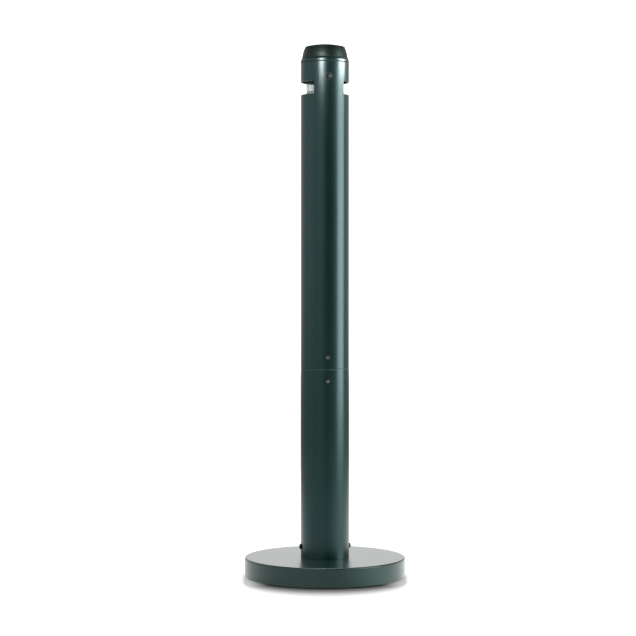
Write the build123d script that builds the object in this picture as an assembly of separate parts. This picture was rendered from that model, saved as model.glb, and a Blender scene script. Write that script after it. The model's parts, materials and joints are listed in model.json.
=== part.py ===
from build123d import *
import math
import os

# A smokers' pole: a slim steel column with two cigarette slots near its top, on a weighted
# round base. All sizes are in millimetres. +Z is up, the origin is on the floor under the
# column's axis, and -Y is the front. The column lifts off at its seam, and the liner that
# holds the ash lifts out of what is left.

# Whole object
TOTAL_HEIGHT = 1045.8
SLIDE_GAP = 0.3
THREAD_GAP = 0.05

# Column tubes
COLUMN_R = 47.5
COLUMN_WALL = 1.5
BORE_R = COLUMN_R - COLUMN_WALL
SEAM_Z = 409.6
TUBE_TOP_Z = 1009.0
TUBE_END_CHAMFER = 0.4
CAP_GROOVE = 0.9

# Cigarette slots, one on each side
SLOT_LOW_Z = 946.0
SLOT_HIGH_Z = 971.0
SLOT_ANGLE = 103.0
SLOT_CORNER_R = 2.0

# Base
BASE_R = 157.5
BASE_TOP_Z = 39.0
COVER_SHEET = 1.5
COVER_EDGE_R = 2.5
COVER_FLOOR_GAP = 2.0
PAD_HEIGHT = 6.0
PAD_R = 12.0
PAD_STEM_R = 4.0
PAD_STEM_LENGTH = 6.0
PAD_CHAMFER = 1.0
PAD_CIRCLE_R = 132.0
PAD_COUNT = 4
WEIGHT_R = 150.0
WEIGHT_PLATE = 7.0
WEIGHT_RIM = 9.0
WEIGHT_RIM_HEIGHT = 7.0
WEIGHT_BOSS_R = 54.0
RIB_COUNT = 6
RIB_WIDTH = 8.0
RIB_HEIGHT = 14.0
RIB_OVERLAP = 2.0

# Socket that holds the foot of the column, and its four bolts
SOCKET_R = BORE_R - 0.15
SOCKET_WALL = 2.5
SOCKET_FLOOR = 4.0
SOCKET_HEIGHT = 45.0
BOLT_R = 4.0
BOLT_LENGTH = 35.0
BOLT_COUNT = 4
BOLT_CIRCLE_R = 27.0
BOLT_TIP = 0.5
WASHER_R = 8.0
WASHER_THICK = 1.6
POCKET_GAP = 1.0
NUT_M8_FLATS = 13.0
NUT_M8_HEIGHT = 6.8

# Sleeve across the seam
SLEEVE_R = BORE_R - 0.25
SLEEVE_WALL = 2.0
SLEEVE_HALF_HEIGHT = 50.0
SLEEVE_LEAD_IN = 1.0

# Liner and the parts that hold it upright
LINER_R = 35.2
LINER_WALL = 0.8
LINER_RIM_Z = 952.0
LINER_BEAD_R = 1.2
LINER_BOTTOM_FLANGE = 12.0
SEAT_R = SOCKET_R - SOCKET_WALL - 0.35
SEAT_FLOOR_Z = 50.0
SEAT_TOP_Z = 53.5
SEAT_POCKET_DEPTH = 5.0
GUIDE_TOP_Z = 941.0
GUIDE_HEIGHT = 12.0
GUIDE_SHEET = 1.2
GUIDE_HOLE_R = 36.9

# Cap
COLLAR_SHOULDER_Z = 1013.5
COLLAR_TOP_Z = 1018.2
COLLAR_TOP_R = 45.7
COLLAR_HOLE_R = 38.0
COLLAR_BULGE = (46.85, 1015.8)
COLLAR_SHEET = 1.5
DOME_LIP_R = 45.4
DOME_LIP_HEIGHT = 1.4
DOME_LIP_EDGE_R = 0.45
DOME_FOOT_R = 44.9
DOME_WAIST = (43.0, 1029.0)
DOME_BROW = (40.0, 1038.2)
DOME_EDGE = (39.0, 1040.2)
DOME_RIM = (36.6, 1041.1)
DOME_SHELL = 2.5
DOME_BOSS_R = 4.5
DOME_BOSS_CIRCLE_R = 25.0
DOME_SCREW_COUNT = 3
PLUG_R = BORE_R - 0.15
PLUG_WALL = 3.0
PLUG_LOW_Z = SLOT_HIGH_Z + 0.5
PLUG_TOP_Z = TUBE_TOP_Z + 1.5
PLUG_PLATE = 3.0
PLUG_BOSS_WIDTH = 15.0
PLUG_BOSS_DEPTH = 9.0

# Screws: (thread radius, head radius, head height, socket flats). A head's crown, bulge and
# socket are parts of its radius and height.
M5_BUTTON = (2.5, 4.75, 2.75, 3.0)
M6_BUTTON = (3.0, 5.25, 3.3, 4.0)
M6_PAN = (3.0, 5.1, 4.0, 4.0)
M8_BUTTON = (4.0, 7.0, 4.4, 5.0)
M4_BUTTON = (2.0, 3.8, 2.2, 2.5)
HOLE_GAP = 0.2
HEAD_EDGE = 0.5
HEAD_CROWN = 0.5
HEAD_BULGE = (0.84, 0.72)
SOCKET_DEPTH = 0.6
NUT_M5_FLATS = 8.0
NUT_M5_HEIGHT = 4.0
NUT_M6_FLATS = 10.0
NUT_M6_HEIGHT = 5.0

# Where those screws are. Directions are degrees counter-clockwise from the front.
FRONT = -90.0
FOOT_SCREW_Z = 60.0
FOOT_SCREW_TURNS = (90.0, 270.0)
JOINT_SCREW_OFFSET = 23.15
JOINT_SCREW_TURNS = (-6.0, 174.0)
TOP_SCREW_Z = 979.0
TOP_SCREW_TURNS = (-2.0, 178.0)
SIDE_SCREW_LENGTH = 10.0
FOOT_SCREW_LENGTH = 12.0
TOP_SCREW_LENGTH = 12.0
DOME_SCREW_LENGTH = 12.0


# ---------------------------------------------------------------- shapes used more than once

def tube(outer_r, inner_r, low_z, high_z):
    """An upright tube on the object's axis."""
    return Pos(0, 0, low_z) * extrude(Circle(outer_r) - Circle(inner_r), amount=high_z - low_z)


def disc(radius, low_z, high_z):
    """An upright solid cylinder on the object's axis."""
    return Pos(0, 0, low_z) * extrude(Circle(radius), amount=high_z - low_z)


def point(radius, z):
    """A point of a turned outline, at a distance from the axis and a height."""
    return (radius, 0, z)


def turned(*edges):
    """The solid made by turning a closed outline about the object's axis."""
    return revolve(make_face(edges), axis=Axis.Z)


def turned_polygon(*corners):
    """A turned solid whose outline has straight sides only."""
    return revolve(make_face(Polyline(*corners, close=True)), axis=Axis.Z)


def facing(turn, radius, z):
    """A place on the column's side, turned from the front, with its own Z pointing outwards."""
    out = Vector(1, 0, 0).rotate(Axis.Z, FRONT + turn)
    return Plane(origin=out * radius + Vector(0, 0, z), x_dir=(0, 0, 1), z_dir=out).location


def around(count, radius, z):
    """Evenly spaced places on a circle round the axis, each with its own Z pointing up."""
    return Pos(0, 0, z) * PolarLocations(radius, count, start_angle=180 / count)


def side_holes(turns, z, hole_r):
    """Round holes through the column's side, as one cutter."""
    depth = COLUMN_R - LINER_R
    cutter = Pos(0, 0, -depth) * extrude(Circle(hole_r), amount=2 * depth)
    return [facing(turn, COLUMN_R, z) * cutter for turn in turns]


def socket_screw(size, length):
    """A domed screw with a hexagon socket: its head stands on Z = 0 and its shank runs down."""
    thread_r, head_r, head_height, socket_flats = size
    crown_r = head_r * HEAD_CROWN
    bulge = point(head_r * HEAD_BULGE[0], head_height * HEAD_BULGE[1])
    head = turned(
        Line(point(0, 0), point(head_r, 0)),
        Line(point(head_r, 0), point(head_r, HEAD_EDGE)),
        ThreePointArc(point(head_r, HEAD_EDGE), bulge, point(crown_r, head_height)),
        Line(point(crown_r, head_height), point(0, head_height)),
        Line(point(0, head_height), point(0, 0)),
    )
    socket_depth = head_height * SOCKET_DEPTH
    hexagon = RegularPolygon(socket_flats / 2, 6, major_radius=False)
    socket = Pos(0, 0, head_height - socket_depth) * extrude(hexagon, amount=head_height)
    return head - socket + disc(thread_r - THREAD_GAP, -length, 0)


def hex_nut(flats, height, bore_r):
    """A plain hexagon nut that stands on Z = 0."""
    return extrude(RegularPolygon(flats / 2, 6, major_radius=False) - Circle(bore_r), amount=height)


def side_screws(size, length, turns, z):
    """Identical screws through the column's side, with their heads on its outer face."""
    return Compound([facing(turn, COLUMN_R, z) * socket_screw(size, length) for turn in turns])


def nut_seat_r(bore_r, flats):
    """How far out a nut's flat face can sit inside a round bore, with its corners just clear."""
    corner_r = flats / math.sqrt(3)
    return math.sqrt(bore_r ** 2 - corner_r ** 2) - SLIDE_GAP


def side_nuts(flats, height, bore_r, turns, z, thread_r):
    """The nuts of those screws, inside a round bore."""
    nut = Pos(0, 0, -height) * hex_nut(flats, height, thread_r)
    seat_r = nut_seat_r(bore_r, flats)
    return Compound([facing(turn, seat_r, z) * nut for turn in turns])


# ---------------------------------------------------------------- base

def base_cover():
    """The pressed pan that shows: a flat top, a rounded edge and a straight side."""
    inner_r = BASE_R - COVER_SHEET
    pan = disc(BASE_R, COVER_FLOOR_GAP, BASE_TOP_Z)
    pan = fillet(pan.edges().group_by(Axis.Z)[-1], COVER_EDGE_R)
    hollow = disc(inner_r, 0, BASE_TOP_Z - COVER_SHEET)
    hollow = fillet(hollow.edges().group_by(Axis.Z)[-1], COVER_EDGE_R - COVER_SHEET)
    return pan - hollow - bolt_holes(0, BASE_TOP_Z)


def bolt_holes(low_z, high_z):
    """Clearance holes for the socket's bolts."""
    hole = extrude(Circle(BOLT_R + HOLE_GAP), amount=high_z - low_z)
    return [place * hole for place in around(BOLT_COUNT, BOLT_CIRCLE_R, low_z)]


def washer_top_z():
    """The height at which the washers bear on the casting, above the bolts' tips."""
    return BASE_TOP_Z + SOCKET_FLOOR - BOLT_LENGTH + BOLT_TIP + NUT_M8_HEIGHT + WASHER_THICK


def base_weight():
    """The cast ballast: a plate with a raised rim, ribs and a boss that carries the cover."""
    low_z = PAD_HEIGHT
    plate_z = low_z + WEIGHT_PLATE
    under_cover_z = BASE_TOP_Z - COVER_SHEET
    casting = disc(WEIGHT_R, low_z, plate_z)
    casting += tube(WEIGHT_R, WEIGHT_R - WEIGHT_RIM, low_z, plate_z + WEIGHT_RIM_HEIGHT)
    casting += disc(WEIGHT_BOSS_R, low_z, under_cover_z)
    rib_start_r = WEIGHT_BOSS_R - RIB_OVERLAP
    rib_length = WEIGHT_R - WEIGHT_RIM / 2 - rib_start_r
    rib_mid_r = rib_start_r + rib_length / 2
    rib = Pos(0, 0, low_z) * extrude(Rectangle(rib_length, RIB_WIDTH), amount=RIB_HEIGHT)
    casting += [place * rib for place in PolarLocations(rib_mid_r, RIB_COUNT)]
    pocket = extrude(Circle(WASHER_R + POCKET_GAP), amount=washer_top_z() - low_z)
    stem_hole = extrude(Circle(PAD_STEM_R), amount=WEIGHT_PLATE)
    casting -= bolt_holes(low_z, under_cover_z)
    casting -= [place * pocket for place in around(BOLT_COUNT, BOLT_CIRCLE_R, low_z)]
    casting -= [place * stem_hole for place in around(PAD_COUNT, PAD_CIRCLE_R, low_z)]
    return casting


def foot_pads():
    """Rubber pads pressed into the ballast by their stems. They stand on the floor."""
    pad = extrude(Circle(PAD_R), amount=PAD_HEIGHT)
    pad = chamfer(pad.edges().group_by(Axis.Z)[0], PAD_CHAMFER)
    pad += Pos(0, 0, PAD_HEIGHT) * extrude(Circle(PAD_STEM_R), amount=PAD_STEM_LENGTH)
    return Compound([place * pad for place in around(PAD_COUNT, PAD_CIRCLE_R, 0)])


def post_socket():
    """The welded cup that the foot of the column fits over."""
    top_z = BASE_TOP_Z + SOCKET_HEIGHT
    cup = disc(SOCKET_R, BASE_TOP_Z, top_z)
    cup = chamfer(cup.edges().group_by(Axis.Z)[-1], SLEEVE_LEAD_IN)
    cup -= disc(SOCKET_R - SOCKET_WALL, BASE_TOP_Z + SOCKET_FLOOR, top_z)
    cup -= bolt_holes(BASE_TOP_Z, BASE_TOP_Z + SOCKET_FLOOR)
    return cup - side_holes(FOOT_SCREW_TURNS, FOOT_SCREW_Z, M6_PAN[0] + HOLE_GAP)


def socket_bolts():
    """Bolts that clamp the socket, the cover and the ballast together."""
    bolt = socket_screw(M8_BUTTON, BOLT_LENGTH)
    head_z = BASE_TOP_Z + SOCKET_FLOOR
    return Compound([place * bolt for place in around(BOLT_COUNT, BOLT_CIRCLE_R, head_z)])


def socket_washers():
    """Washers of those bolts, in the casting's pockets."""
    washer = extrude(Circle(WASHER_R) - Circle(BOLT_R + HOLE_GAP), amount=WASHER_THICK)
    low_z = washer_top_z() - WASHER_THICK
    return Compound([place * washer for place in around(BOLT_COUNT, BOLT_CIRCLE_R, low_z)])


def socket_nuts():
    """Nuts of those bolts, under the washers."""
    nut = hex_nut(NUT_M8_FLATS, NUT_M8_HEIGHT, BOLT_R)
    low_z = washer_top_z() - WASHER_THICK - NUT_M8_HEIGHT
    return Compound([place * nut for place in around(BOLT_COUNT, BOLT_CIRCLE_R, low_z)])


def liner_seat():
    """The moulded ring in the socket that the liner stands in, with pockets for the bolts."""
    low_z = BASE_TOP_Z + SOCKET_FLOOR
    seat = disc(SEAT_R, low_z, SEAT_TOP_Z)
    seat -= disc(LINER_R + 2 * SLIDE_GAP, SEAT_FLOOR_Z, SEAT_TOP_Z)
    pocket = extrude(Circle(M8_BUTTON[1] + POCKET_GAP), amount=SEAT_POCKET_DEPTH)
    return seat - [place * pocket for place in around(BOLT_COUNT, BOLT_CIRCLE_R, low_z)]


# ---------------------------------------------------------------- column

def column_tube(low_z, high_z, top_chamfer):
    """One length of the column's tube, with its outer edges broken at both ends."""
    return turned_polygon(
        point(BORE_R, low_z),
        point(BORE_R, high_z),
        point(COLUMN_R - top_chamfer, high_z),
        point(COLUMN_R, high_z - top_chamfer),
        point(COLUMN_R, low_z + TUBE_END_CHAMFER),
        point(COLUMN_R - TUBE_END_CHAMFER, low_z),
    )


def lower_tube():
    """The fixed foot of the column, from the base's top to the seam."""
    wall = column_tube(BASE_TOP_Z, SEAM_Z - SLIDE_GAP / 2, TUBE_END_CHAMFER)
    wall -= side_holes(FOOT_SCREW_TURNS, FOOT_SCREW_Z, M6_PAN[0] + HOLE_GAP)
    joint_z = SEAM_Z - JOINT_SCREW_OFFSET
    return wall - side_holes(JOINT_SCREW_TURNS, joint_z, M5_BUTTON[0] + HOLE_GAP)


def joint_sleeve():
    """The inner sleeve across the seam. Its upper screw slots are open, so the column lifts off."""
    low_z = SEAM_Z - SLEEVE_HALF_HEIGHT
    high_z = SEAM_Z + SLEEVE_HALF_HEIGHT
    sleeve = disc(SLEEVE_R, low_z, high_z)
    sleeve = chamfer(sleeve.edges().group_by(Axis.Z)[-1], SLEEVE_LEAD_IN)
    sleeve -= disc(SLEEVE_R - SLEEVE_WALL, low_z, high_z)
    hole_r = M5_BUTTON[0] + HOLE_GAP
    sleeve -= side_holes(JOINT_SCREW_TURNS, SEAM_Z - JOINT_SCREW_OFFSET, hole_r)
    slot_r = M5_BUTTON[0] + SLIDE_GAP
    slot_z = SEAM_Z + JOINT_SCREW_OFFSET
    sleeve -= side_holes(JOINT_SCREW_TURNS, slot_z, slot_r)
    slot_height = high_z - slot_z
    slot = extrude(Rectangle(slot_height, 2 * slot_r), amount=COLUMN_R - LINER_R, both=True)
    mid_z = slot_z + slot_height / 2
    return sleeve - [facing(turn, COLUMN_R, mid_z) * slot for turn in JOINT_SCREW_TURNS]


def slot_cutter():
    """A wedge as tall as a slot, as wide as its angle, with its middle on +X."""
    reach = 2 * COLUMN_R
    half = math.radians(SLOT_ANGLE / 2)
    near_x = reach * math.cos(half)
    side_y = reach * math.sin(half)
    corners = ((0, 0), (near_x, side_y), (reach, side_y), (reach, -side_y), (near_x, -side_y))
    wedge = make_face(Polyline(*corners, close=True))
    return Pos(0, 0, SLOT_LOW_Z) * extrude(wedge, amount=SLOT_HIGH_Z - SLOT_LOW_Z)


def slot_corners(wall):
    """The short edges at the slots' corners, which run through the wall."""
    def is_corner(edge):
        middle = edge.center()
        at_height = min(abs(middle.Z - SLOT_LOW_Z), abs(middle.Z - SLOT_HIGH_Z)) < THREAD_GAP
        return at_height and edge.length < 2 * COLUMN_WALL and edge.geom_type == GeomType.LINE
    return wall.edges().filter_by(is_corner)


def upper_tube():
    """The column above the seam, with the two slots and half of the groove under the collar."""
    wall = column_tube(SEAM_Z + SLIDE_GAP / 2, TUBE_TOP_Z, CAP_GROOVE)
    wall -= [slot_cutter(), Rot(0, 0, 180) * slot_cutter()]
    wall = fillet(slot_corners(wall), SLOT_CORNER_R)
    wall -= side_holes(JOINT_SCREW_TURNS, SEAM_Z + JOINT_SCREW_OFFSET, M5_BUTTON[0] + HOLE_GAP)
    return wall - side_holes(TOP_SCREW_TURNS, TOP_SCREW_Z, M6_BUTTON[0] + HOLE_GAP)


def guide_ring():
    """A pressed ring in the column that keeps the liner's mouth on the axis."""
    outer_r = BORE_R - THREAD_GAP
    low_z = GUIDE_TOP_Z - GUIDE_HEIGHT
    skirt_r = outer_r - GUIDE_SHEET
    return turned_polygon(
        point(outer_r, low_z),
        point(outer_r, GUIDE_TOP_Z),
        point(GUIDE_HOLE_R, GUIDE_TOP_Z),
        point(GUIDE_HOLE_R, GUIDE_TOP_Z - GUIDE_SHEET),
        point(skirt_r, GUIDE_TOP_Z - GUIDE_SHEET),
        point(skirt_r, low_z),
    )


# ---------------------------------------------------------------- liner

def liner_bottom_z():
    """The underside of the liner, just above its seat."""
    return SEAT_FLOOR_Z + SLIDE_GAP


def liner_tube():
    """The long galvanised tube that catches the ash, with a rolled rim."""
    bead_z = LINER_RIM_Z - LINER_BEAD_R
    inner_r = LINER_R - LINER_WALL
    wall = tube(LINER_R, inner_r, liner_bottom_z(), bead_z)
    bead = Pos(0, 0, bead_z) * Torus((LINER_R + inner_r) / 2, LINER_BEAD_R)
    return wall + bead


def liner_bottom():
    """The liner's pressed end cap, with its flange turned up inside the tube."""
    outer_r = LINER_R - LINER_WALL
    low_z = liner_bottom_z()
    high_z = low_z + LINER_BOTTOM_FLANGE
    return disc(outer_r, low_z, high_z) - disc(outer_r - LINER_WALL, low_z + LINER_WALL, high_z)


# ---------------------------------------------------------------- cap

def cap_plug():
    """The moulded plug inside the column's top. The top screws and the dome hold on to it."""
    plate_z = PLUG_TOP_Z - PLUG_PLATE
    plug = disc(PLUG_R, PLUG_LOW_Z, PLUG_TOP_Z) - disc(PLUG_R - PLUG_WALL, PLUG_LOW_Z, plate_z)
    boss_r = PLUG_R - PLUG_BOSS_DEPTH / 2
    boss_height = PLUG_TOP_Z - PLUG_LOW_Z
    boss = extrude(Rectangle(boss_height, PLUG_BOSS_WIDTH), amount=PLUG_BOSS_DEPTH / 2, both=True)
    bosses = [facing(turn, boss_r, PLUG_LOW_Z + boss_height / 2) * boss for turn in TOP_SCREW_TURNS]
    plug += [piece & disc(PLUG_R, PLUG_LOW_Z, PLUG_TOP_Z) for piece in bosses]
    plug -= side_holes(TOP_SCREW_TURNS, TOP_SCREW_Z, M6_BUTTON[0] + HOLE_GAP)
    nut_r = nut_seat_r(PLUG_R - PLUG_WALL, NUT_M6_FLATS)
    hexagon = RegularPolygon(NUT_M6_FLATS / 2 + HOLE_GAP, 6, major_radius=False)
    pocket = extrude(hexagon, amount=-PLUG_BOSS_DEPTH)
    plug -= [facing(turn, nut_r, TOP_SCREW_Z) * pocket for turn in TOP_SCREW_TURNS]
    screw_hole = extrude(Circle(M4_BUTTON[0] + HOLE_GAP), amount=PLUG_PLATE)
    return plug - [place * screw_hole for place in around(DOME_SCREW_COUNT, DOME_BOSS_CIRCLE_R, plate_z)]


def cap_collar():
    """The pressed ring on the tube's end: a groove, a short side, a shoulder and a flat top."""
    inner_r = COLUMN_R - COLLAR_SHEET
    under_z = COLLAR_TOP_Z - COLLAR_SHEET
    top = point(COLLAR_TOP_R, COLLAR_TOP_Z)
    return turned(
        Line(point(COLUMN_R - CAP_GROOVE, TUBE_TOP_Z), point(COLUMN_R, TUBE_TOP_Z + CAP_GROOVE)),
        Line(point(COLUMN_R, TUBE_TOP_Z + CAP_GROOVE), point(COLUMN_R, COLLAR_SHOULDER_Z)),
        ThreePointArc(point(COLUMN_R, COLLAR_SHOULDER_Z), point(*COLLAR_BULGE), top),
        Line(top, point(COLLAR_HOLE_R, COLLAR_TOP_Z)),
        Line(point(COLLAR_HOLE_R, COLLAR_TOP_Z), point(COLLAR_HOLE_R, under_z)),
        Line(point(COLLAR_HOLE_R, under_z), point(COLLAR_TOP_R - COLLAR_SHEET, under_z)),
        Line(point(COLLAR_TOP_R - COLLAR_SHEET, under_z), point(inner_r, COLLAR_SHOULDER_Z)),
        Line(point(inner_r, COLLAR_SHOULDER_Z), point(inner_r, TUBE_TOP_Z)),
        Line(point(inner_r, TUBE_TOP_Z), point(COLUMN_R - CAP_GROOVE, TUBE_TOP_Z)),
    )


def dome_outline(inset, foot_z):
    """The dome's outline, moved in by the shell's thickness to make its inside."""
    foot = point(DOME_FOOT_R - inset, foot_z)
    waist = point(DOME_WAIST[0] - inset, DOME_WAIST[1])
    brow = point(DOME_BROW[0] - inset, DOME_BROW[1] - inset)
    edge = point(DOME_EDGE[0] - inset, DOME_EDGE[1] - inset)
    rim = point(DOME_RIM[0] - inset, DOME_RIM[1] - inset)
    top = point(0, TOTAL_HEIGHT - inset)
    crown = (TOTAL_HEIGHT - DOME_RIM[1]) / DOME_RIM[0] ** 2
    halfway_r = DOME_RIM[0] / 2
    halfway = point(halfway_r, top[2] - crown * halfway_r ** 2)
    return turned(
        Line(point(0, foot_z), foot),
        ThreePointArc(foot, waist, brow),
        ThreePointArc(brow, edge, rim),
        Spline(rim, halfway, top, tangents=[(-1, 0, 2 * crown * DOME_RIM[0]), (-1, 0, 0)]),
        Line(top, point(0, foot_z)),
    )


def cap_dome():
    """The hollow moulded dome, with a small lip at its foot and three screw bosses inside."""
    lip_top_z = COLLAR_TOP_Z + DOME_LIP_HEIGHT
    lip = disc(DOME_LIP_R, COLLAR_TOP_Z, lip_top_z)
    lip = fillet(lip.edges().group_by(Axis.Z)[-1], DOME_LIP_EDGE_R)
    shell = dome_outline(0, COLLAR_TOP_Z) + lip - dome_outline(DOME_SHELL, COLLAR_TOP_Z)
    inside = dome_outline(DOME_SHELL / 2, COLLAR_TOP_Z) + disc(COLLAR_HOLE_R, PLUG_TOP_Z, COLLAR_TOP_Z)
    boss = extrude(Circle(DOME_BOSS_R), amount=TOTAL_HEIGHT - PLUG_TOP_Z)
    hole = extrude(Circle(M4_BUTTON[0]), amount=DOME_SCREW_LENGTH)
    places = list(around(DOME_SCREW_COUNT, DOME_BOSS_CIRCLE_R, PLUG_TOP_Z))
    shell += [(place * boss) & inside for place in places]
    return shell - [place * hole for place in places]


def dome_screws():
    """Screws that hold the dome down from inside the column."""
    screw = Rot(180, 0, 0) * socket_screw(M4_BUTTON, DOME_SCREW_LENGTH)
    head_z = PLUG_TOP_Z - PLUG_PLATE
    return Compound([place * screw for place in around(DOME_SCREW_COUNT, DOME_BOSS_CIRCLE_R, head_z)])


# ---------------------------------------------------------------- the whole object

def fasteners():
    """The screws and nuts that go through the column's side."""
    sleeve_bore_r = SLEEVE_R - SLEEVE_WALL
    low_joint_z = SEAM_Z - JOINT_SCREW_OFFSET
    high_joint_z = SEAM_Z + JOINT_SCREW_OFFSET
    m5_nut = (NUT_M5_FLATS, NUT_M5_HEIGHT, sleeve_bore_r, JOINT_SCREW_TURNS)
    socket_bore_r = SOCKET_R - SOCKET_WALL
    plug_bore_r = PLUG_R - PLUG_WALL
    foot = (FOOT_SCREW_TURNS, FOOT_SCREW_Z)
    top = (TOP_SCREW_TURNS, TOP_SCREW_Z)
    return {
        "foot_screws": side_screws(M6_PAN, FOOT_SCREW_LENGTH, *foot),
        "foot_screw_nuts": side_nuts(NUT_M6_FLATS, NUT_M6_HEIGHT, socket_bore_r, *foot, M6_PAN[0]),
        "lower_joint_screws": side_screws(M5_BUTTON, SIDE_SCREW_LENGTH, JOINT_SCREW_TURNS, low_joint_z),
        "lower_joint_nuts": side_nuts(*m5_nut, low_joint_z, M5_BUTTON[0]),
        "upper_joint_screws": side_screws(M5_BUTTON, SIDE_SCREW_LENGTH, JOINT_SCREW_TURNS, high_joint_z),
        "upper_joint_nuts": side_nuts(*m5_nut, high_joint_z, M5_BUTTON[0]),
        "top_screws": side_screws(M6_BUTTON, TOP_SCREW_LENGTH, *top),
        "top_screw_nuts": side_nuts(NUT_M6_FLATS, NUT_M6_HEIGHT, plug_bore_r, *top, M6_BUTTON[0]),
    }


def all_pieces():
    """Every piece by its node name."""
    makers = (
        base_cover, base_weight, foot_pads, post_socket, socket_bolts, socket_washers, socket_nuts,
        liner_seat, lower_tube, joint_sleeve, upper_tube, guide_ring, liner_tube, liner_bottom,
        cap_plug, cap_collar, cap_dome, dome_screws,
    )
    pieces = {maker.__name__: maker() for maker in makers}
    return pieces | fasteners()


os.makedirs("parts", exist_ok=True)
for name, shape in all_pieces().items():
    export_step(shape, f"parts/{name}.step")
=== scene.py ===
import json
import math

import bmesh
import bpy
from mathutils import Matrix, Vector


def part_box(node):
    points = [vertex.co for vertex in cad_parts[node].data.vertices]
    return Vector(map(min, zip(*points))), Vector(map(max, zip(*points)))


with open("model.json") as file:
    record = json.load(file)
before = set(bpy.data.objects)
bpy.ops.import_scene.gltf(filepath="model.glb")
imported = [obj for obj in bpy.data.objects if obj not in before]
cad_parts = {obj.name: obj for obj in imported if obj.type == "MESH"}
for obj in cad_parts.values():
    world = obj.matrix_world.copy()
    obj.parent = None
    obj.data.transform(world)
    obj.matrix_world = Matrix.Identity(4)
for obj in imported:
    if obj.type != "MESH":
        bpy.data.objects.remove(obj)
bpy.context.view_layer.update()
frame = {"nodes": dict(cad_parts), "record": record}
MM = 0.001

# Heights and radii that the materials and the floor are placed by, read from the CAD model.
SEAM_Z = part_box("lower_tube")[1].z
LINER_RIM_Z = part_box("liner_tube")[1].z
TUBE_TOP_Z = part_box("upper_tube")[1].z
COLLAR_TOP_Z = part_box("cap_collar")[1].z
COLUMN_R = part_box("upper_tube")[1].x
BASE_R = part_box("base_cover")[1].x
COLUMN_WALL = 1.5 * MM

# The camera: almost level with the middle of the column, a little to the left of its front.
CAMERA_TURN = math.radians(-12.0)
CAMERA_DISTANCE = 3.60
EYE_HEIGHT = 0.561
AIM_HEIGHT = 0.509
AIM_LEFT = 0.0136
LENS_MM = 103.6

# Colours are linear. The paint is a green so dark that it reads as black.
WHITE = (1.0, 1.0, 1.0)
BLACK = (0.0, 0.0, 0.0)
PAINT_DARK = (0.0018, 0.0150, 0.0112)
PAINT_LIGHT = (0.0036, 0.0205, 0.0160)
PAINT_SHEEN = (0.60, 0.95, 1.0)
BASE_SHEEN = (0.78, 0.98, 0.95)
# A lighter colour for the painted highlight under the seam.
SEAM_HIGHLIGHT = (0.10, 0.17, 0.16)
PRIMER = (0.15, 0.18, 0.175)
CUT_STEEL = (0.42, 0.39, 0.36)
# Near-black for dirt and painted shade, in the grooves and round the screw heads.
GRIME_AND_SHADE = (0.0020, 0.0030, 0.0028)
DUST = (0.34, 0.33, 0.30)
ZINC_BRIGHT = (0.56, 0.61, 0.59)
ZINC_DULL = (0.36, 0.41, 0.40)
NUT_DARK = (0.45, 0.46, 0.45)
NUT_LIGHT = (0.62, 0.63, 0.61)
PLASTIC_DARK = (0.0022, 0.0070, 0.0060)
PLASTIC_LIGHT = (0.0048, 0.0118, 0.0104)
PLASTIC_SHEEN = (0.62, 1.0, 0.95)
IRON = (0.030, 0.030, 0.031)
RUST = (0.085, 0.036, 0.018)
RUBBER_DARK = (0.012, 0.012, 0.012)
RUBBER_LIGHT = (0.026, 0.025, 0.024)
BLACK_OXIDE = (0.016, 0.024, 0.023)
RUBBED_AND_HIGHLIT_STEEL = (0.27, 0.36, 0.34)
WARM = (1.0, 0.83, 0.82)
WARMER = (1.0, 0.77, 0.75)

# Depths of the surfaces' reliefs, from their lowest to their highest points.
PAINT_RELIEF = 0.012 * MM
ZINC_RELIEF = 0.02 * MM
PLASTIC_RELIEF = 0.02 * MM
CASTING_RELIEF = 0.25 * MM
RUBBER_RELIEF = 0.05 * MM
TURNING_RELIEF = 0.01 * MM

# Grooves that are darkened with dirt and painted shade: height, and how far the darkening reaches.
GROOVES = ((TUBE_TOP_Z, 1.2 * MM), (SEAM_Z + 0.7 * MM, 0.7 * MM), (COLLAR_TOP_Z, 0.5 * MM))

# The painted highlight just under the seam, on the lower tube's edge: where it begins, where it is
# full, and how strong it is.
SEAM_HIGHLIGHT_LOW_Z = SEAM_Z - 2.2 * MM
SEAM_HIGHLIGHT_FULL_Z = SEAM_Z - 1.2 * MM
SEAM_HIGHLIGHT_STRENGTH = 0.22

# Pairs of screws whose heads show. A dark ring of dirt and painted shade lies round each head, from
# one distance to another.
DARK_SCREWS = ("top_screws", "upper_joint_screws", "lower_joint_screws", "foot_screws")
DIRT_SHADE_FROM = 1.0 * MM
DIRT_SHADE_TO = 2.6 * MM

# The studio's brightness round the object: degrees to the right of the camera, radiance.
STUDIO = (
    (-180.0, 1.80),
    (-170.0, 1.60),
    (-160.0, 0.85),
    (-150.0, 0.70),
    (-120.0, 0.80),
    (-95.0, 0.95),
    (-74.0, 1.35),
    (-42.0, 1.12),
    (-18.0, 1.42),
    (-7.0, 0.86),
    (5.0, 0.12),
    (30.0, 0.03),
    (50.0, 0.56),
    (110.0, 0.60),
    (135.0, 0.68),
    (160.0, 0.80),
    (170.0, 1.60),
    (180.0, 1.80),
)
# Higher up, between these two sines of the elevation, that brightness falls to this share.
STUDIO_DIMS = (0.25, 0.6)
STUDIO_TOP = 0.27

# The floor, and what the object and the camera see of it. The object sees a painted pool of light
# that fades with distance and a glowing patch near it.
FLOOR_R = 9.0
FLOOR_NEAR = 0.85
FLOOR_FAR = 0.36
FLOOR_FADE = (0.5, 2.6)
PATCH_FADE = (0.45, 2.2)
PATCH_STRENGTH = 0.9
SEEN_FLOOR = 0.22

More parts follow.
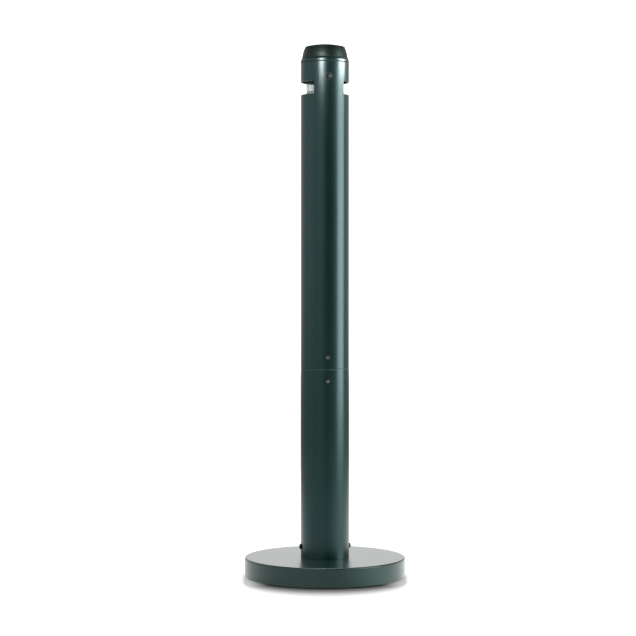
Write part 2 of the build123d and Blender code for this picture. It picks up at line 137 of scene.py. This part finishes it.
# The floor's painted shadow: how far it reaches in front of the rim, between which distances to the
# side it ends, how wide its thinner ends are, how far behind the middle it goes, and its contact.
SHADOW_REACH = 0.113
SHADOW_SIDE = (BASE_R - 0.014, BASE_R + 0.010)
SHADOW_THIN = 0.055
SHADOW_BEHIND = 0.03
CONTACT_WIDTH = 0.010
CONTACT_SHADE = 0.85

CEILING_Z = 2.6


def toward(turn_right):
    """The level direction from the column that lies an angle to the right of the camera."""
    turn = CAMERA_TURN + math.radians(turn_right)
    return Vector((math.sin(turn), -math.cos(turn), 0.0))


UP = (0.0, 0.0, 1.0)
FRONT = tuple(toward(0.0))
RIGHT = tuple(toward(90.0))
LEFT_BEHIND = tuple(toward(-110.0))


# ---------------------------------------------------------------- node wiring

class Graph:
    """Wires the nodes of one material or of the world."""

    def __init__(self, tree):
        self.tree = tree
        tree.nodes.clear()
        coordinates = self.add("ShaderNodeTexCoord")
        self.place = coordinates.outputs["Object"]
        self.direction = coordinates.outputs["Generated"]

    def add(self, kind, inputs=None, **settings):
        """Adds a node, then sets or links its inputs by name or number."""
        node = self.tree.nodes.new(kind)
        for name, value in settings.items():
            setattr(node, name, value)
        for key, value in (inputs or {}).items():
            self.feed(node.inputs[key], value)
        return node

    def feed(self, socket, value):
        """Links a socket to another one, or sets its plain value."""
        if isinstance(value, bpy.types.NodeSocket):
            self.tree.links.new(value, socket)
        elif socket.type == "RGBA":
            socket.default_value = (*value, 1.0)
        else:
            socket.default_value = value

    def math(self, operation, first, second=0.0, third=0.0):
        inputs = {0: first, 1: second, 2: third}
        return self.add("ShaderNodeMath", inputs, operation=operation).outputs[0]

    def times(self, *factors):
        """The product of some numbers."""
        product = factors[0]
        for factor in factors[1:]:
            product = self.math("MULTIPLY", product, factor)
        return product

    def highest(self, *values):
        """The largest of some numbers."""
        best = values[0]
        for value in values[1:]:
            best = self.math("MAXIMUM", best, value)
        return best

    def vector(self, operation, first, second=(0.0, 0.0, 0.0)):
        return self.add("ShaderNodeVectorMath", {0: first, 1: second}, operation=operation)

    def dot(self, first, second):
        return self.vector("DOT_PRODUCT", first, second).outputs["Value"]

    def fit(self, value, low, high, to_low=0.0, to_high=1.0, smooth=False):
        """Maps a value from one range to another, and stops at its ends."""
        inputs = {
            "Value": value, "From Min": low, "From Max": high, "To Min": to_low, "To Max": to_high,
        }
        kind = "SMOOTHSTEP" if smooth else "LINEAR"
        return self.add("ShaderNodeMapRange", inputs, interpolation_type=kind).outputs["Result"]

    def blend(self, factor, first, second):
        """Blends two numbers."""
        inputs = {0: factor, 2: first, 3: second}
        return self.add("ShaderNodeMix", inputs, data_type="FLOAT").outputs[0]

    def mix(self, factor, first, second):
        """Blends two colours."""
        node = self.add("ShaderNodeMix", data_type="RGBA")
        self.feed(node.inputs[0], factor)
        self.feed(node.inputs[6], first)
        self.feed(node.inputs[7], second)
        return node.outputs[2]

    def noise(self, scale, detail=3.0, roughness=0.55, stretch=(1.0, 1.0, 1.0)):
        """Cloudy noise of so many grains a metre, from 0 to 1."""
        place = self.add("ShaderNodeMapping", {"Vector": self.place, "Scale": stretch}).outputs[0]
        inputs = {"Vector": place, "Scale": scale, "Detail": detail, "Roughness": roughness}
        return self.add("ShaderNodeTexNoise", inputs).outputs["Fac"]

    def cells(self, scale, output="Color"):
        """Voronoi cells of so many a metre."""
        inputs = {"Vector": self.place, "Scale": scale}
        return self.add("ShaderNodeTexVoronoi", inputs).outputs[output]

    def radius(self):
        """Distance from the object's axis, and the direction away from it."""
        flat = self.vector("MULTIPLY", self.place, (1.0, 1.0, 0.0)).outputs[0]
        length = self.vector("LENGTH", flat).outputs["Value"]
        return length, self.vector("NORMALIZE", flat).outputs[0]

    def height(self):
        return self.add("ShaderNodeSeparateXYZ", {0: self.place}).outputs["Z"]

    def normal(self):
        return self.add("ShaderNodeNewGeometry").outputs["Normal"]

    def edges(self, width):
        """About 1 on edges narrower than a width, and 0 on open surfaces."""
        soft = self.add("ShaderNodeBevel", {"Radius": width}, samples=4).outputs[0]
        return self.fit(self.dot(soft, self.normal()), 0.995, 0.90)

    def bump(self, height, depth):
        """A surface relief of so many metres deep."""
        inputs = {"Height": height, "Distance": depth, "Strength": 1.0}
        return self.add("ShaderNodeBump", inputs).outputs[0]

    def surface(self, colour, roughness, relief, metallic=0.0, **plain):
        """The material's one shader. Plain values are the same all over."""
        inputs = {
            "Base Color": colour, "Roughness": roughness, "Normal": relief, "Metallic": metallic,
        }
        inputs.update({name.replace("_", " "): value for name, value in plain.items()})
        shader = self.add("ShaderNodeBsdfPrincipled", inputs)
        self.add("ShaderNodeOutputMaterial", {"Surface": shader.outputs[0]})


def material(name, build):
    made = bpy.data.materials.new(name)
    made.use_nodes = True
    build(Graph(made.node_tree))
    return made


# ---------------------------------------------------------------- shared looks

def spangle(g):
    """Colour, roughness and relief of galvanised steel: zinc crystals, dulled in patches."""
    crystal = g.add("ShaderNodeSeparateXYZ", {0: g.cells(170.0)}).outputs["X"]
    weathered = g.noise(9.0, detail=5.0, roughness=0.6, stretch=(1.0, 1.0, 0.4))
    shade = g.math("MULTIPLY_ADD", crystal, 0.35, 0.25)
    colour = g.mix(g.times(shade, g.fit(weathered, 0.35, 0.7)), ZINC_BRIGHT, ZINC_DULL)
    roughness = g.fit(crystal, 0.0, 1.0, to_low=0.46, to_high=0.58)
    relief = g.bump(g.math("ADD", g.times(crystal, 0.3), g.noise(700.0)), ZINC_RELIEF)
    return colour, roughness, relief


def powder_coat(g):
    """Colour, roughness and height of the dark green paint."""
    cloud = g.noise(14.0, detail=4.0)
    fleck = g.noise(1500.0, detail=1.0)
    tone = g.math("MULTIPLY_ADD", fleck, 0.35, g.times(cloud, 0.65))
    colour = g.mix(g.fit(tone, 0.3, 0.7), PAINT_DARK, PAINT_LIGHT)
    rubbed = g.noise(30.0, detail=4.0, roughness=0.6, stretch=(1.0, 1.0, 0.12))
    roughness = g.fit(rubbed, 0.3, 0.75, to_low=0.26, to_high=0.31)
    peel = g.noise(420.0, detail=2.0, roughness=0.5)
    grain = g.noise(2600.0, detail=1.0)
    return colour, roughness, g.math("MULTIPLY_ADD", grain, 0.25, peel)


def worn(g, colour, roughness, under, width=0.7 * MM, amount=0.35):
    """Wears the finish through to what is under it, in broken spots along the edges."""
    patchy = g.fit(g.noise(160.0, detail=4.0, roughness=0.65), 0.50, 0.66)
    mask = g.times(g.edges(width), patchy, amount)
    return g.mix(mask, colour, under), g.blend(mask, roughness, 0.6)


def seam_dirt_shade_and_highlight(g, colour, roughness):
    """Darkens the grooves between the column's pieces with dirt and painted shade, and paints a
    light line under the seam: a painted highlight on the lower tube's edge.
    """
    height = g.height()
    # The grooves get dirt and painted shade: near-black and rough.
    dirt_and_shade = 0.0
    for groove_z, reach in GROOVES:
        apart = g.math("ABSOLUTE", g.math("SUBTRACT", height, groove_z))
        dirt_and_shade = g.highest(dirt_and_shade, g.fit(apart, 0.5 * reach, reach, to_low=1.0, to_high=0.0))
    dirt_and_shade = g.times(dirt_and_shade, g.fit(g.noise(60.0), 0.3, 0.6, to_low=0.7))
    # A lighter line painted just under the seam: a painted highlight.
    seam_highlight = g.times(
        g.fit(height, SEAM_HIGHLIGHT_LOW_Z, SEAM_HIGHLIGHT_FULL_Z),
        SEAM_HIGHLIGHT_STRENGTH,
        g.fit(height, SEAM_Z + 0.1 * MM, SEAM_Z - 0.1 * MM),
        g.fit(g.noise(12.0, detail=2.0), 0.35, 0.6, to_low=0.3),
    )
    colour = g.mix(seam_highlight, colour, SEAM_HIGHLIGHT)
    return g.mix(dirt_and_shade, colour, GRIME_AND_SHADE), g.blend(dirt_and_shade, roughness, 0.85)


def from_screws(g, name):
    """Distance from the axis that a pair of level screws lies along, and their heads' radius."""
    low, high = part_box(name)
    points = [Vector((v.co.x, v.co.y, 0.0)) for v in frame["nodes"][name].data.vertices]
    along = sum((p for p in points if p.dot(points[0]) > 0), Vector()).normalized()
    across = g.dot(g.place, (-along.y, along.x, 0.0))
    above = g.math("SUBTRACT", g.height(), (low.z + high.z) / 2)
    squares = g.math("ADD", g.math("POWER", across, 2.0), g.math("POWER", above, 2.0))
    return g.math("SQRT", squares), (high.z - low.z) / 2


def painted(g):
    """The column's paint, with its wear, dirt and painted shade in its grooves, a painted highlight
    under the seam, and a dark ring of dirt and painted shade round its screws.
    """
    colour, roughness, height = powder_coat(g)
    colour, roughness = worn(g, colour, roughness, PRIMER)
    colour, roughness = seam_dirt_shade_and_highlight(g, colour, roughness)
    for name in DARK_SCREWS:
        # A dark ring round each screw head: dirt and painted shade.
        distance, head_r = from_screws(g, name)
        ring = g.fit(distance, head_r + DIRT_SHADE_FROM, head_r + DIRT_SHADE_TO, to_low=0.95, to_high=0.0)
        colour = g.mix(ring, colour, GRIME_AND_SHADE)
        roughness = g.blend(ring, roughness, 0.7)
    return colour, roughness, height


# ---------------------------------------------------------------- materials

def painted_collar(g):
    colour, roughness, height = painted(g)
    g.surface(colour, roughness, g.bump(height, PAINT_RELIEF), Specular_Tint=PAINT_SHEEN)


def painted_tube(g):
    """Painted outside, galvanised inside, and bare along the cut sides and tops of the slots."""
    colour, roughness, height = painted(g)
    distance, outward = g.radius()
    facing_out = g.math("ABSOLUTE", g.dot(g.normal(), outward))
    by_slots = g.fit(g.height(), LINER_RIM_Z - 4 * MM, LINER_RIM_Z - 2 * MM)
    cut = g.times(g.fit(facing_out, 0.45, 0.25), by_slots)
    colour = g.mix(cut, colour, CUT_STEEL)
    zinc_from = COLUMN_R - 0.75 * COLUMN_WALL
    zinc_to = COLUMN_R - 0.5 * COLUMN_WALL
    inside = g.fit(distance, zinc_from, zinc_to, to_low=1.0, to_high=0.0)
    inside = g.times(inside, g.math("SUBTRACT", 1.0, cut))
    zinc_colour, zinc_roughness, _ = spangle(g)
    colour = g.mix(inside, colour, zinc_colour)
    roughness = g.blend(inside, roughness, zinc_roughness)
    metallic = g.times(inside, 0.5)
    relief = g.bump(height, PAINT_RELIEF)
    g.surface(colour, roughness, relief, metallic, Specular_Tint=PAINT_SHEEN)


def painted_base(g):
    """The same paint, with a little dust on the flat top and scuffs along its rim."""
    colour, roughness, height = powder_coat(g)
    colour, roughness = worn(g, colour, roughness, PRIMER, width=1.0 * MM, amount=0.12)
    flat = g.fit(g.dot(g.normal(), UP), 0.9, 0.99)
    dusty = g.fit(g.noise(22.0, detail=4.0, roughness=0.6), 0.35, 0.85, to_high=0.010)
    colour = g.mix(g.times(flat, dusty), colour, DUST)
    relief = g.bump(height, g.blend(flat, 0.30 * PAINT_RELIEF, 0.05 * PAINT_RELIEF))
    roughness = g.blend(g.times(flat, 0.8), roughness, 0.285)
    g.surface(colour, roughness, relief, Specular_Tint=BASE_SHEEN)


def moulded_plastic(g):
    """Black plastic with a fine moulded grain."""
    tone = g.fit(g.noise(60.0, detail=4.0), 0.35, 0.7)
    colour = g.mix(tone, PLASTIC_DARK, PLASTIC_LIGHT)
    roughness = g.fit(g.noise(35.0, detail=4.0), 0.3, 0.7, to_low=0.37, to_high=0.45)
    colour, roughness = worn(g, colour, roughness, DUST, width=0.5 * MM, amount=0.02)
    colour, roughness = seam_dirt_shade_and_highlight(g, colour, roughness)
    pits = g.times(g.cells(1300.0, "Distance"), 0.5)
    relief = g.bump(g.math("ADD", g.noise(1700.0, detail=2.0), pits), PLASTIC_RELIEF)
    g.surface(colour, roughness, relief, Specular_IOR_Level=0.32, Specular_Tint=PLASTIC_SHEEN)


def galvanised(g):
    colour, roughness, relief = spangle(g)
    g.surface(colour, roughness, relief, metallic=1.0)


def cast_iron(g):
    """Sand-cast iron under a thin dark primer, rusting in spots."""
    rust = g.fit(g.noise(26.0, detail=6.0, roughness=0.7), 0.55, 0.75)
    roughness = g.fit(rust, 0.0, 1.0, to_low=0.62, to_high=0.85)
    relief = g.bump(g.noise(450.0, detail=5.0, roughness=0.7), CASTING_RELIEF)
    g.surface(g.mix(rust, IRON, RUST), roughness, relief, metallic=0.2)


def rubber(g):
    """Dull black rubber, a little uneven."""
    colour = g.mix(g.noise(90.0, detail=4.0), RUBBER_DARK, RUBBER_LIGHT)
    roughness = g.fit(g.noise(60.0), 0.3, 0.7, to_low=0.7, to_high=0.85)
    g.surface(colour, roughness, g.bump(g.noise(900.0), RUBBER_RELIEF))


def zinc_screw(g):
    """Plated steel with fine turning marks, brighter where a key has rubbed the edges."""
    colour = g.mix(g.noise(300.0), NUT_DARK, NUT_LIGHT)
    roughness = g.fit(g.noise(500.0, detail=2.0), 0.3, 0.7, to_low=0.28, to_high=0.38)
    colour, roughness = worn(g, colour, roughness, ZINC_DULL, width=0.3 * MM, amount=0.3)
    relief = g.bump(g.noise(2400.0, detail=2.0), TURNING_RELIEF)
    g.surface(colour, roughness, relief, metallic=1.0)


def dark_screw(name):
    """A blackened screw, with a lighter, less metallic ring on its crown round its socket: rubbed
    metal and a painted highlight.
    """
    def build(g):
        distance, head_r = from_screws(g, name)
        crown = g.fit(distance, 0.66 * head_r, 0.56 * head_r)
        round_socket = g.fit(distance, 0.24 * head_r, 0.34 * head_r, to_low=0.15)
        patchy = g.fit(g.noise(420.0, roughness=0.6), 0.35, 0.6, to_low=0.4)
        # The ring on the crown is rubbed metal and a painted highlight.
        ring = g.times(crown, round_socket, patchy)
        colour = g.mix(ring, BLACK_OXIDE, RUBBED_AND_HIGHLIT_STEEL)
        roughness = g.fit(g.noise(500.0, detail=2.0), 0.3, 0.7, to_low=0.26, to_high=0.36)
        relief = g.bump(g.noise(2400.0, detail=2.0), TURNING_RELIEF)
        g.surface(colour, roughness, relief, g.blend(ring, 0.9, 0.35))
    return build


def paint_nodes():
    """Gives every CAD piece its material."""
    by_slot = {
        "painted_steel": material("painted_tube", painted_tube),
        "black_plastic": material("moulded_plastic", moulded_plastic),
        "galvanised_steel": material("galvanised", galvanised),
        "cast_iron": material("cast_iron", cast_iron),
        "rubber": material("rubber", rubber),
        "zinc_fasteners": material("zinc_screw", zinc_screw),
    }
    by_node = {
        "base_cover": material("painted_base", painted_base),
        "cap_collar": material("painted_collar", painted_collar),
    }
    for name in DARK_SCREWS:
        by_node[name] = material(name, dark_screw(name))
    for part in frame["record"]["subparts"]:
        piece = frame["nodes"][part["node"]]
        finish = by_node.get(part["node"]) or by_slot[part["material_slot"]]
        piece.data.materials.clear()
        piece.data.materials.append(finish)


# ---------------------------------------------------------------- floor

def painted_floor_shadow(g):
    """A painted shadow: how bright the floor glows beside the base, with a short shadow that falls
    towards the camera.
    """
    to_side = g.math("ABSOLUTE", g.dot(g.place, RIGHT))
    to_front = g.dot(g.place, FRONT)
    depth = g.math("SUBTRACT", BASE_R ** 2, g.math("POWER", to_side, 2.0))
    past_rim = g.math("SUBTRACT", to_front, g.math("SQRT", g.highest(depth, 0.0)))
    # Painted shadow: the floor's glow is dimmed in front of the base and along its rim.
    open_floor = g.highest(
        g.fit(past_rim, 0.0, SHADOW_REACH, smooth=True),
        g.fit(to_side, *SHADOW_SIDE, smooth=True),
        g.fit(to_side, BASE_R - SHADOW_THIN, BASE_R, to_high=0.5, smooth=True),
        g.fit(to_front, 0.0, -SHADOW_BEHIND, smooth=True),
    )
    distance, _ = g.radius()
    contact_end = BASE_R + CONTACT_WIDTH
    contact = g.fit(distance, BASE_R, contact_end, to_low=CONTACT_SHADE, smooth=True)
    return g.times(open_floor, contact)


def glow(g, strength):
    """White light from the surface itself."""
    return g.add("ShaderNodeEmission", {"Color": WHITE, "Strength": strength}).outputs[0]


def matt(g, colour):
    return g.add("ShaderNodeBsdfDiffuse", {"Color": colour}).outputs[0]


def pale(g):
    """A floor that is white to the camera, with a painted shadow by the base. To the object it shows
    a painted pool of light that dims away from it, and a glowing patch beside it.
    """
    distance, outward = g.radius()
    # A painted pool of light and a glowing patch, seen only by the object and not by the camera.
    painted_light_pool = g.fit(distance, *FLOOR_FADE, to_low=FLOOR_NEAR, to_high=FLOOR_FAR, smooth=True)
    right = g.fit(g.dot(outward, RIGHT), 0.2, 0.9, smooth=True)
    left = g.fit(g.dot(outward, LEFT_BEHIND), 0.5, 0.95, to_low=0.6, to_high=0.95, smooth=True)
    near = g.fit(distance, *PATCH_FADE, to_low=PATCH_STRENGTH, to_high=0.0, smooth=True)
    patch = glow(g, g.times(g.math("ADD", right, left), near))
    mirrored = g.add("ShaderNodeAddShader", {0: matt(g, g.mix(painted_light_pool, BLACK, WHITE)), 1: patch})
    plain = matt(g, (SEEN_FLOOR, SEEN_FLOOR, SEEN_FLOOR))
    seen = g.add("ShaderNodeAddShader", {0: plain, 1: glow(g, painted_floor_shadow(g))})
    direct = g.add("ShaderNodeLightPath").outputs["Is Camera Ray"]
    inputs = {0: direct, 1: mirrored.outputs[0], 2: seen.outputs[0]}
    shader = g.add("ShaderNodeMixShader", inputs)
    g.add("ShaderNodeOutputMaterial", {"Surface": shader.outputs[0]})


def build_floor():
    """A wide pale floor."""
    mesh = bpy.data.meshes.new("floor")
    form = bmesh.new()
    bmesh.ops.create_circle(form, cap_ends=True, segments=96, radius=FLOOR_R)
    form.to_mesh(mesh)
    form.free()
    floor = bpy.data.objects.new("floor", mesh)
    bpy.context.scene.collection.objects.link(floor)
    mesh.materials.append(material("pale_floor", pale))


# ---------------------------------------------------------------- studio

def build_world():
    """A pale studio that is dim in front of the object. It is white where the camera looks."""
    world = bpy.data.worlds.new("studio")
    world.use_nodes = True
    bpy.context.scene.world = world
    g = Graph(world.node_tree)
    turn = g.math("ARCTAN2", g.dot(g.direction, RIGHT), g.dot(g.direction, FRONT))
    ramp = g.add("ShaderNodeValToRGB", {0: g.fit(turn, -math.pi, math.pi)})
    steps = ramp.color_ramp.elements
    while len(steps) < len(STUDIO):
        steps.new(0.5)
    for step, (degrees, brightness) in zip(steps, STUDIO):
        step.position = (degrees + 180.0) / 360.0
        step.color = (brightness, brightness, brightness, 1.0)
    dimmed = g.fit(g.dot(g.direction, UP), *STUDIO_DIMS, to_low=1.0, to_high=STUDIO_TOP, smooth=True)
    direct = g.add("ShaderNodeLightPath").outputs["Is Camera Ray"]
    strength = g.highest(g.times(ramp.outputs["Color"], dimmed), direct)
    background = g.add("ShaderNodeBackground", {"Color": WHITE, "Strength": strength})
    g.add("ShaderNodeOutputWorld", {"Surface": background.outputs[0]})


def lamp(name, width, height, radiance, tint=WHITE):
    """A rectangular light that the camera doesn't see, given by how bright its face is."""
    data = bpy.data.lights.new(name, "AREA")
    data.shape = "RECTANGLE"
    data.size = width
    data.size_y = height
    data.energy = radiance * math.pi * width * height
    data.color = tint
    light = bpy.data.objects.new(name, data)
    bpy.context.scene.collection.objects.link(light)
    light.visible_camera = False
    return light


def softbox(name, turn_right, distance, low_z, high_z, width, radiance, tint=WHITE):
    """An upright lamp that faces the column's axis."""
    light = lamp(name, width, high_z - low_z, radiance, tint)
    out = toward(turn_right)
    light.location = out * distance + Vector((0, 0, (low_z + high_z) / 2))
    light.rotation_euler = out.to_track_quat("Z", "Y").to_euler()
    return light


def ceiling_lamp(name, side, radiance):
    """A square lamp above the object, facing down."""
    light = lamp(name, side, side, radiance)
    light.location = (0.0, 0.0, CEILING_Z)
    return light


def light_only(light, nodes):
    """Keeps a light off everything except these pieces."""
    lit = bpy.data.collections.new(light.name + "_lit")
    for node in nodes:
        lit.objects.link(frame["nodes"][node])
    light.light_linking.receiver_collection = lit


def build_lights():
    """A large lamp on the right, one behind, two overhead, and two small ones by the cap."""
    right = softbox(
        "right_box", turn_right=79.0, distance=1.9, low_z=0.18, high_z=1.9, width=1.15,
        radiance=8.2,
    )
    right_near = softbox(
        "right_near_box", turn_right=83.0, distance=0.28, low_z=1.018, high_z=1.10, width=0.17,
        radiance=42.0, tint=WARM,
    )
    left_near = softbox(
        "left_near_box", turn_right=-14.0, distance=0.28, low_z=1.018, high_z=1.12, width=0.09,
        radiance=54.0, tint=WARMER,
    )
    back = softbox(
        "back_box", turn_right=178.0, distance=2.2, low_z=0.35, high_z=1.2, width=1.8,
        radiance=6.0,
    )
    overhead = ceiling_lamp("overhead", side=1.8, radiance=2.0)
    rim = ceiling_lamp("rim_light", side=1.0, radiance=56.0)
    for light in (right_near, left_near, rim):
        light.visible_diffuse = False
    for light in (back, overhead):
        light.visible_glossy = False
    light_only(rim, ["base_cover"])
    light_only(right, frame["nodes"])
    light_only(right_near, ["upper_tube", "cap_collar"])
    light_only(left_near, ["upper_tube", "cap_collar", "cap_dome"])


def build_camera():
    """The camera, with the pose and lens that frame the object as the photo does."""
    data = bpy.data.cameras.new("camera")
    data.lens = LENS_MM
    camera = bpy.data.objects.new("camera", data)
    bpy.context.scene.collection.objects.link(camera)
    camera.location = toward(0.0) * CAMERA_DISTANCE + Vector((0, 0, EYE_HEIGHT))
    aim = toward(-90.0) * AIM_LEFT + Vector((0, 0, AIM_HEIGHT))
    camera.rotation_euler = (aim - camera.location).to_track_quat("-Z", "Y").to_euler()
    bpy.context.scene.camera = camera


def set_tone():
    """A plain tone curve, so that the white studio stays white and the paint stays dark."""
    view = bpy.context.scene.view_settings
    view.view_transform = "Standard"
    view.look = "None"


build_camera()
build_world()
build_lights()
build_floor()
paint_nodes()
set_tone()
